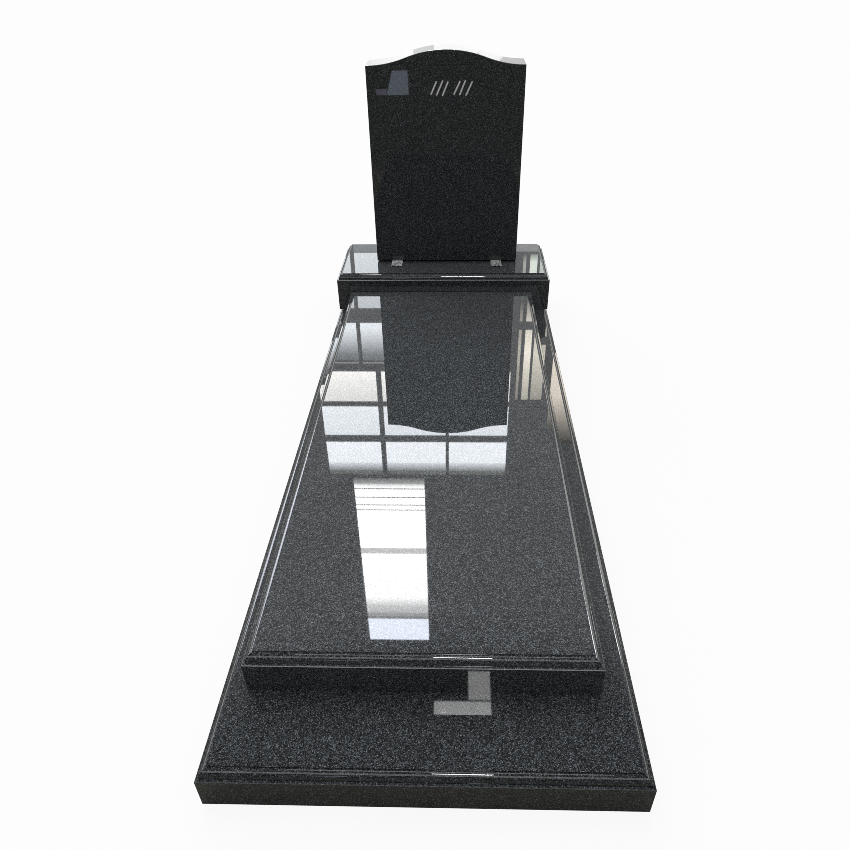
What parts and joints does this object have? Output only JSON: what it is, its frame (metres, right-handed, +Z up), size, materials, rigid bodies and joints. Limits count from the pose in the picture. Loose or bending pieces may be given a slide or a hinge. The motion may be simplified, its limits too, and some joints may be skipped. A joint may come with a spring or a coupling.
{
  "type": "headstone",
  "caption": "Polished granite headstone with a serpentine top, set on a moulded plinth at the head of a moulded cover slab and base slab.",
  "frame": {"origin": "middle of the base slab's underside, on the ground", "axes": "+Z up, +Y from the foot of the grave to the headstone at its head, so the headstone's face looks along -Y; +X across the slab, to the right of someone who faces the headstone"},
  "size_m": [0.762, 2.054, 0.9124],
  "materials": {
    "granite_slab": "dark grey granite, polished on top and moulding, honed face, sawn underside",
    "granite_ledger": "dark grey granite, mirror polished on top",
    "granite_plinth": "dark grey granite, polished",
    "granite_tablet": "dark grey granite, mirror polished face, sawn back",
    "strip": "matt light grey packing strip"
  },
  "bodies": {
    "root": {"base_slab": "granite_slab", "ledger": "granite_ledger", "plinth": "granite_plinth", "tablet": "granite_tablet", "packing_strip_left": "strip", "packing_strip_right": "strip"}
  },
  "joints": []
}
